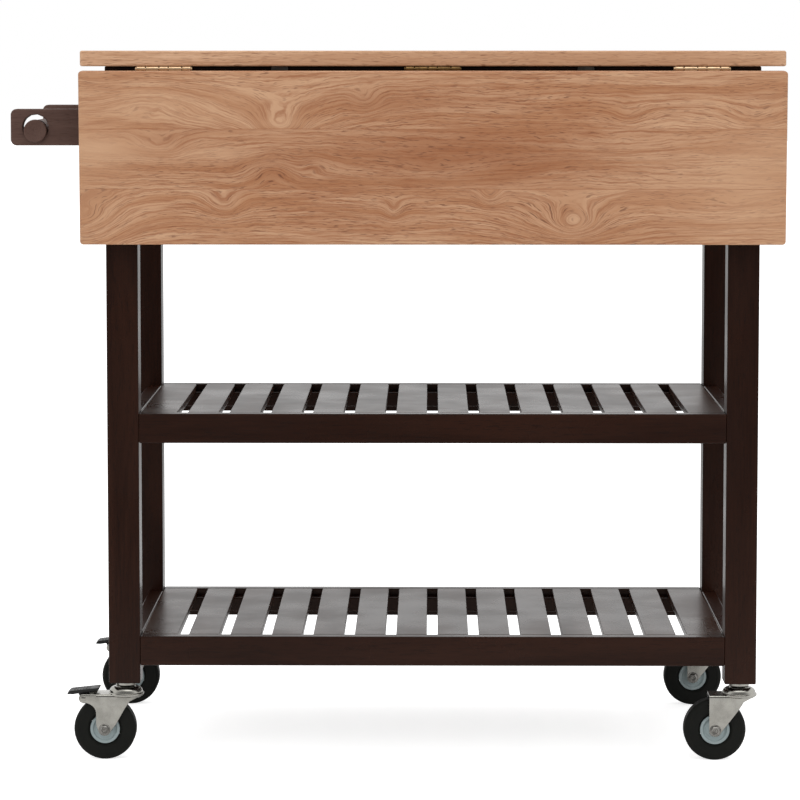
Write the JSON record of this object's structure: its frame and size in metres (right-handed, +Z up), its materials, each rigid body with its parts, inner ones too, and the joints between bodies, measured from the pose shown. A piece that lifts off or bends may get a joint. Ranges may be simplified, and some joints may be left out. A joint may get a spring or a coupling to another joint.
{
  "type": "drop leaf kitchen island",
  "caption": "Rolling kitchen island with a wooden worktop, a hinged drop leaf along the front, slatted shelves, a towel bar and swivel casters.",
  "frame": {"origin": "on the floor, under the middle of the bounding box", "axes": "+X to the right seen from the leaf side, +Y from the leaf side to the back, +Z up"},
  "size_m": [0.9226, 0.4772, 0.856],
  "materials": {
    "butcher_block": "satin lacquered solid wood staves",
    "dark_wood": "gloss espresso lacquer",
    "brass": "plated satin",
    "zinc_steel": "bright zinc plate",
    "tyre": "matt black rubber",
    "hub_plastic": "pale grey moulded",
    "pedal_plastic": "black moulded"
  },
  "bodies": {
    "frame": {"worktop": "butcher_block", "leg_front_left": "dark_wood", "leg_front_right": "dark_wood", "leg_rear_left": "dark_wood", "leg_rear_right": "dark_wood", "apron_front": "dark_wood", "apron_rear": "dark_wood", "apron_left": "dark_wood", "apron_right": "dark_wood", "lower_rail_front": "dark_wood", "lower_rail_rear": "dark_wood", "lower_rail_left": "dark_wood", "lower_rail_right": "dark_wood", "middle_rail_front": "dark_wood", "middle_rail_rear": "dark_wood", "middle_rail_left": "dark_wood", "middle_rail_right": "dark_wood", "lower_slats": "dark_wood", "middle_slats": "dark_wood", "towel_bracket_front": "dark_wood", "towel_bracket_rear": "dark_wood", "hinge_left_top_plate": "brass", "hinge_left_pin": "brass", "hinge_middle_top_plate": "brass", "hinge_middle_pin": "brass", "hinge_right_top_plate": "brass", "hinge_right_pin": "brass", "stay_left_bracket": "zinc_steel", "stay_right_bracket": "zinc_steel", "caster_front_left_mount": "zinc_steel", "caster_front_right_mount": "zinc_steel", "caster_rear_left_mount": "zinc_steel", "caster_rear_right_mount": "zinc_steel"},
    "leaf": {"drop_leaf": "butcher_block", "hinge_left_leaf_plate": "brass", "hinge_middle_leaf_plate": "brass", "hinge_right_leaf_plate": "brass", "stay_left_track": "zinc_steel", "stay_right_track": "zinc_steel"},
    "stay_left": {"stay_left_bar": "zinc_steel"},
    "stay_right": {"stay_right_bar": "zinc_steel"},
    "towel_bar": {"towel_bar": "dark_wood"},
    "caster_front_left": {"caster_front_left_fork": "zinc_steel", "caster_front_left_axle": "zinc_steel"},
    "wheel_front_left": {"caster_front_left_tyre": "tyre", "caster_front_left_hub": "hub_plastic"},
    "pedal_front_left": {"caster_front_left_pedal": "pedal_plastic"},
    "caster_front_right": {"caster_front_right_fork": "zinc_steel", "caster_front_right_axle": "zinc_steel"},
    "wheel_front_right": {"caster_front_right_tyre": "tyre", "caster_front_right_hub": "hub_plastic"},
    "caster_rear_left": {"caster_rear_left_fork": "zinc_steel", "caster_rear_left_axle": "zinc_steel"},
    "wheel_rear_left": {"caster_rear_left_tyre": "tyre", "caster_rear_left_hub": "hub_plastic"},
    "pedal_rear_left": {"caster_rear_left_pedal": "pedal_plastic"},
    "caster_rear_right": {"caster_rear_right_fork": "zinc_steel", "caster_rear_right_axle": "zinc_steel"},
    "wheel_rear_right": {"caster_rear_right_tyre": "tyre", "caster_rear_right_hub": "hub_plastic"}
  },
  "joints": [
    {"name": "leaf_hinge", "type": "hinge", "parent": "frame", "child": "leaf", "pos_m": [0.04375, -0.21743, 0.8342], "axis": [-1, 0, 0], "range_deg": [0, 92.3]},
    {"name": "stay_left_fold", "type": "hinge", "parent": "frame", "child": "stay_left", "pos_m": [-0.13825, -0.20343, 0.7762], "axis": [-1, 0, 0], "range_deg": [0, 113.28]},
    {"name": "stay_right_fold", "type": "hinge", "parent": "frame", "child": "stay_right", "pos_m": [0.22575, -0.20343, 0.7762], "axis": [-1, 0, 0], "range_deg": [0, 113.28]},
    {"name": "towel_bar_spin", "type": "hinge", "parent": "frame", "child": "towel_bar", "pos_m": [-0.43155, 0.01057, 0.76015], "axis": [0, 1, 0], "continuous": true},
    {"name": "caster_front_left_swivel", "type": "hinge", "parent": "frame", "child": "caster_front_left", "pos_m": [-0.32775, -0.17143, 0.085], "axis": [0, 0, 1], "continuous": true},
    {"name": "wheel_front_left_roll", "type": "hinge", "parent": "caster_front_left", "child": "wheel_front_left", "pos_m": [-0.35275, -0.17143, 0.0375], "axis": [0, 1, 0], "continuous": true},
    {"name": "pedal_front_left_press", "type": "hinge", "parent": "caster_front_left", "child": "pedal_front_left", "pos_m": [-0.37815, -0.17143, 0.0754], "axis": [0, -1, 0], "range_deg": [0, 12]},
    {"name": "caster_front_right_swivel", "type": "hinge", "parent": "frame", "child": "caster_front_right", "pos_m": [0.41525, -0.17143, 0.085], "axis": [0, 0, 1], "continuous": true},
    {"name": "wheel_front_right_roll", "type": "hinge", "parent": "caster_front_right", "child": "wheel_front_right", "pos_m": [0.38575, -0.17143, 0.0375], "axis": [0, 1, 0], "continuous": true},
    {"name": "caster_rear_left_swivel", "type": "hinge", "parent": "frame", "child": "caster_rear_left", "pos_m": [-0.32775, 0.19257, 0.085], "axis": [0, 0, 1], "continuous": true},
    {"name": "wheel_rear_left_roll", "type": "hinge", "parent": "caster_rear_left", "child": "wheel_rear_left", "pos_m": [-0.35275, 0.19257, 0.0375], "axis": [0, 1, 0], "continuous": true},
    {"name": "pedal_rear_left_press", "type": "hinge", "parent": "caster_rear_left", "child": "pedal_rear_left", "pos_m": [-0.37815, 0.19257, 0.0754], "axis": [0, -1, 0], "range_deg": [0, 12]},
    {"name": "caster_rear_right_swivel", "type": "hinge", "parent": "frame", "child": "caster_rear_right", "pos_m": [0.41525, 0.19257, 0.085], "axis": [0, 0, 1], "continuous": true},
    {"name": "wheel_rear_right_roll", "type": "hinge", "parent": "caster_rear_right", "child": "wheel_rear_right", "pos_m": [0.38575, 0.19257, 0.0375], "axis": [0, 1, 0], "continuous": true}
  ],
  "couplings": [
    {"joint": "stay_left_fold", "follows": "leaf_hinge", "ratio": 1.2262},
    {"joint": "stay_right_fold", "follows": "leaf_hinge", "ratio": 1.2262}
  ]
}
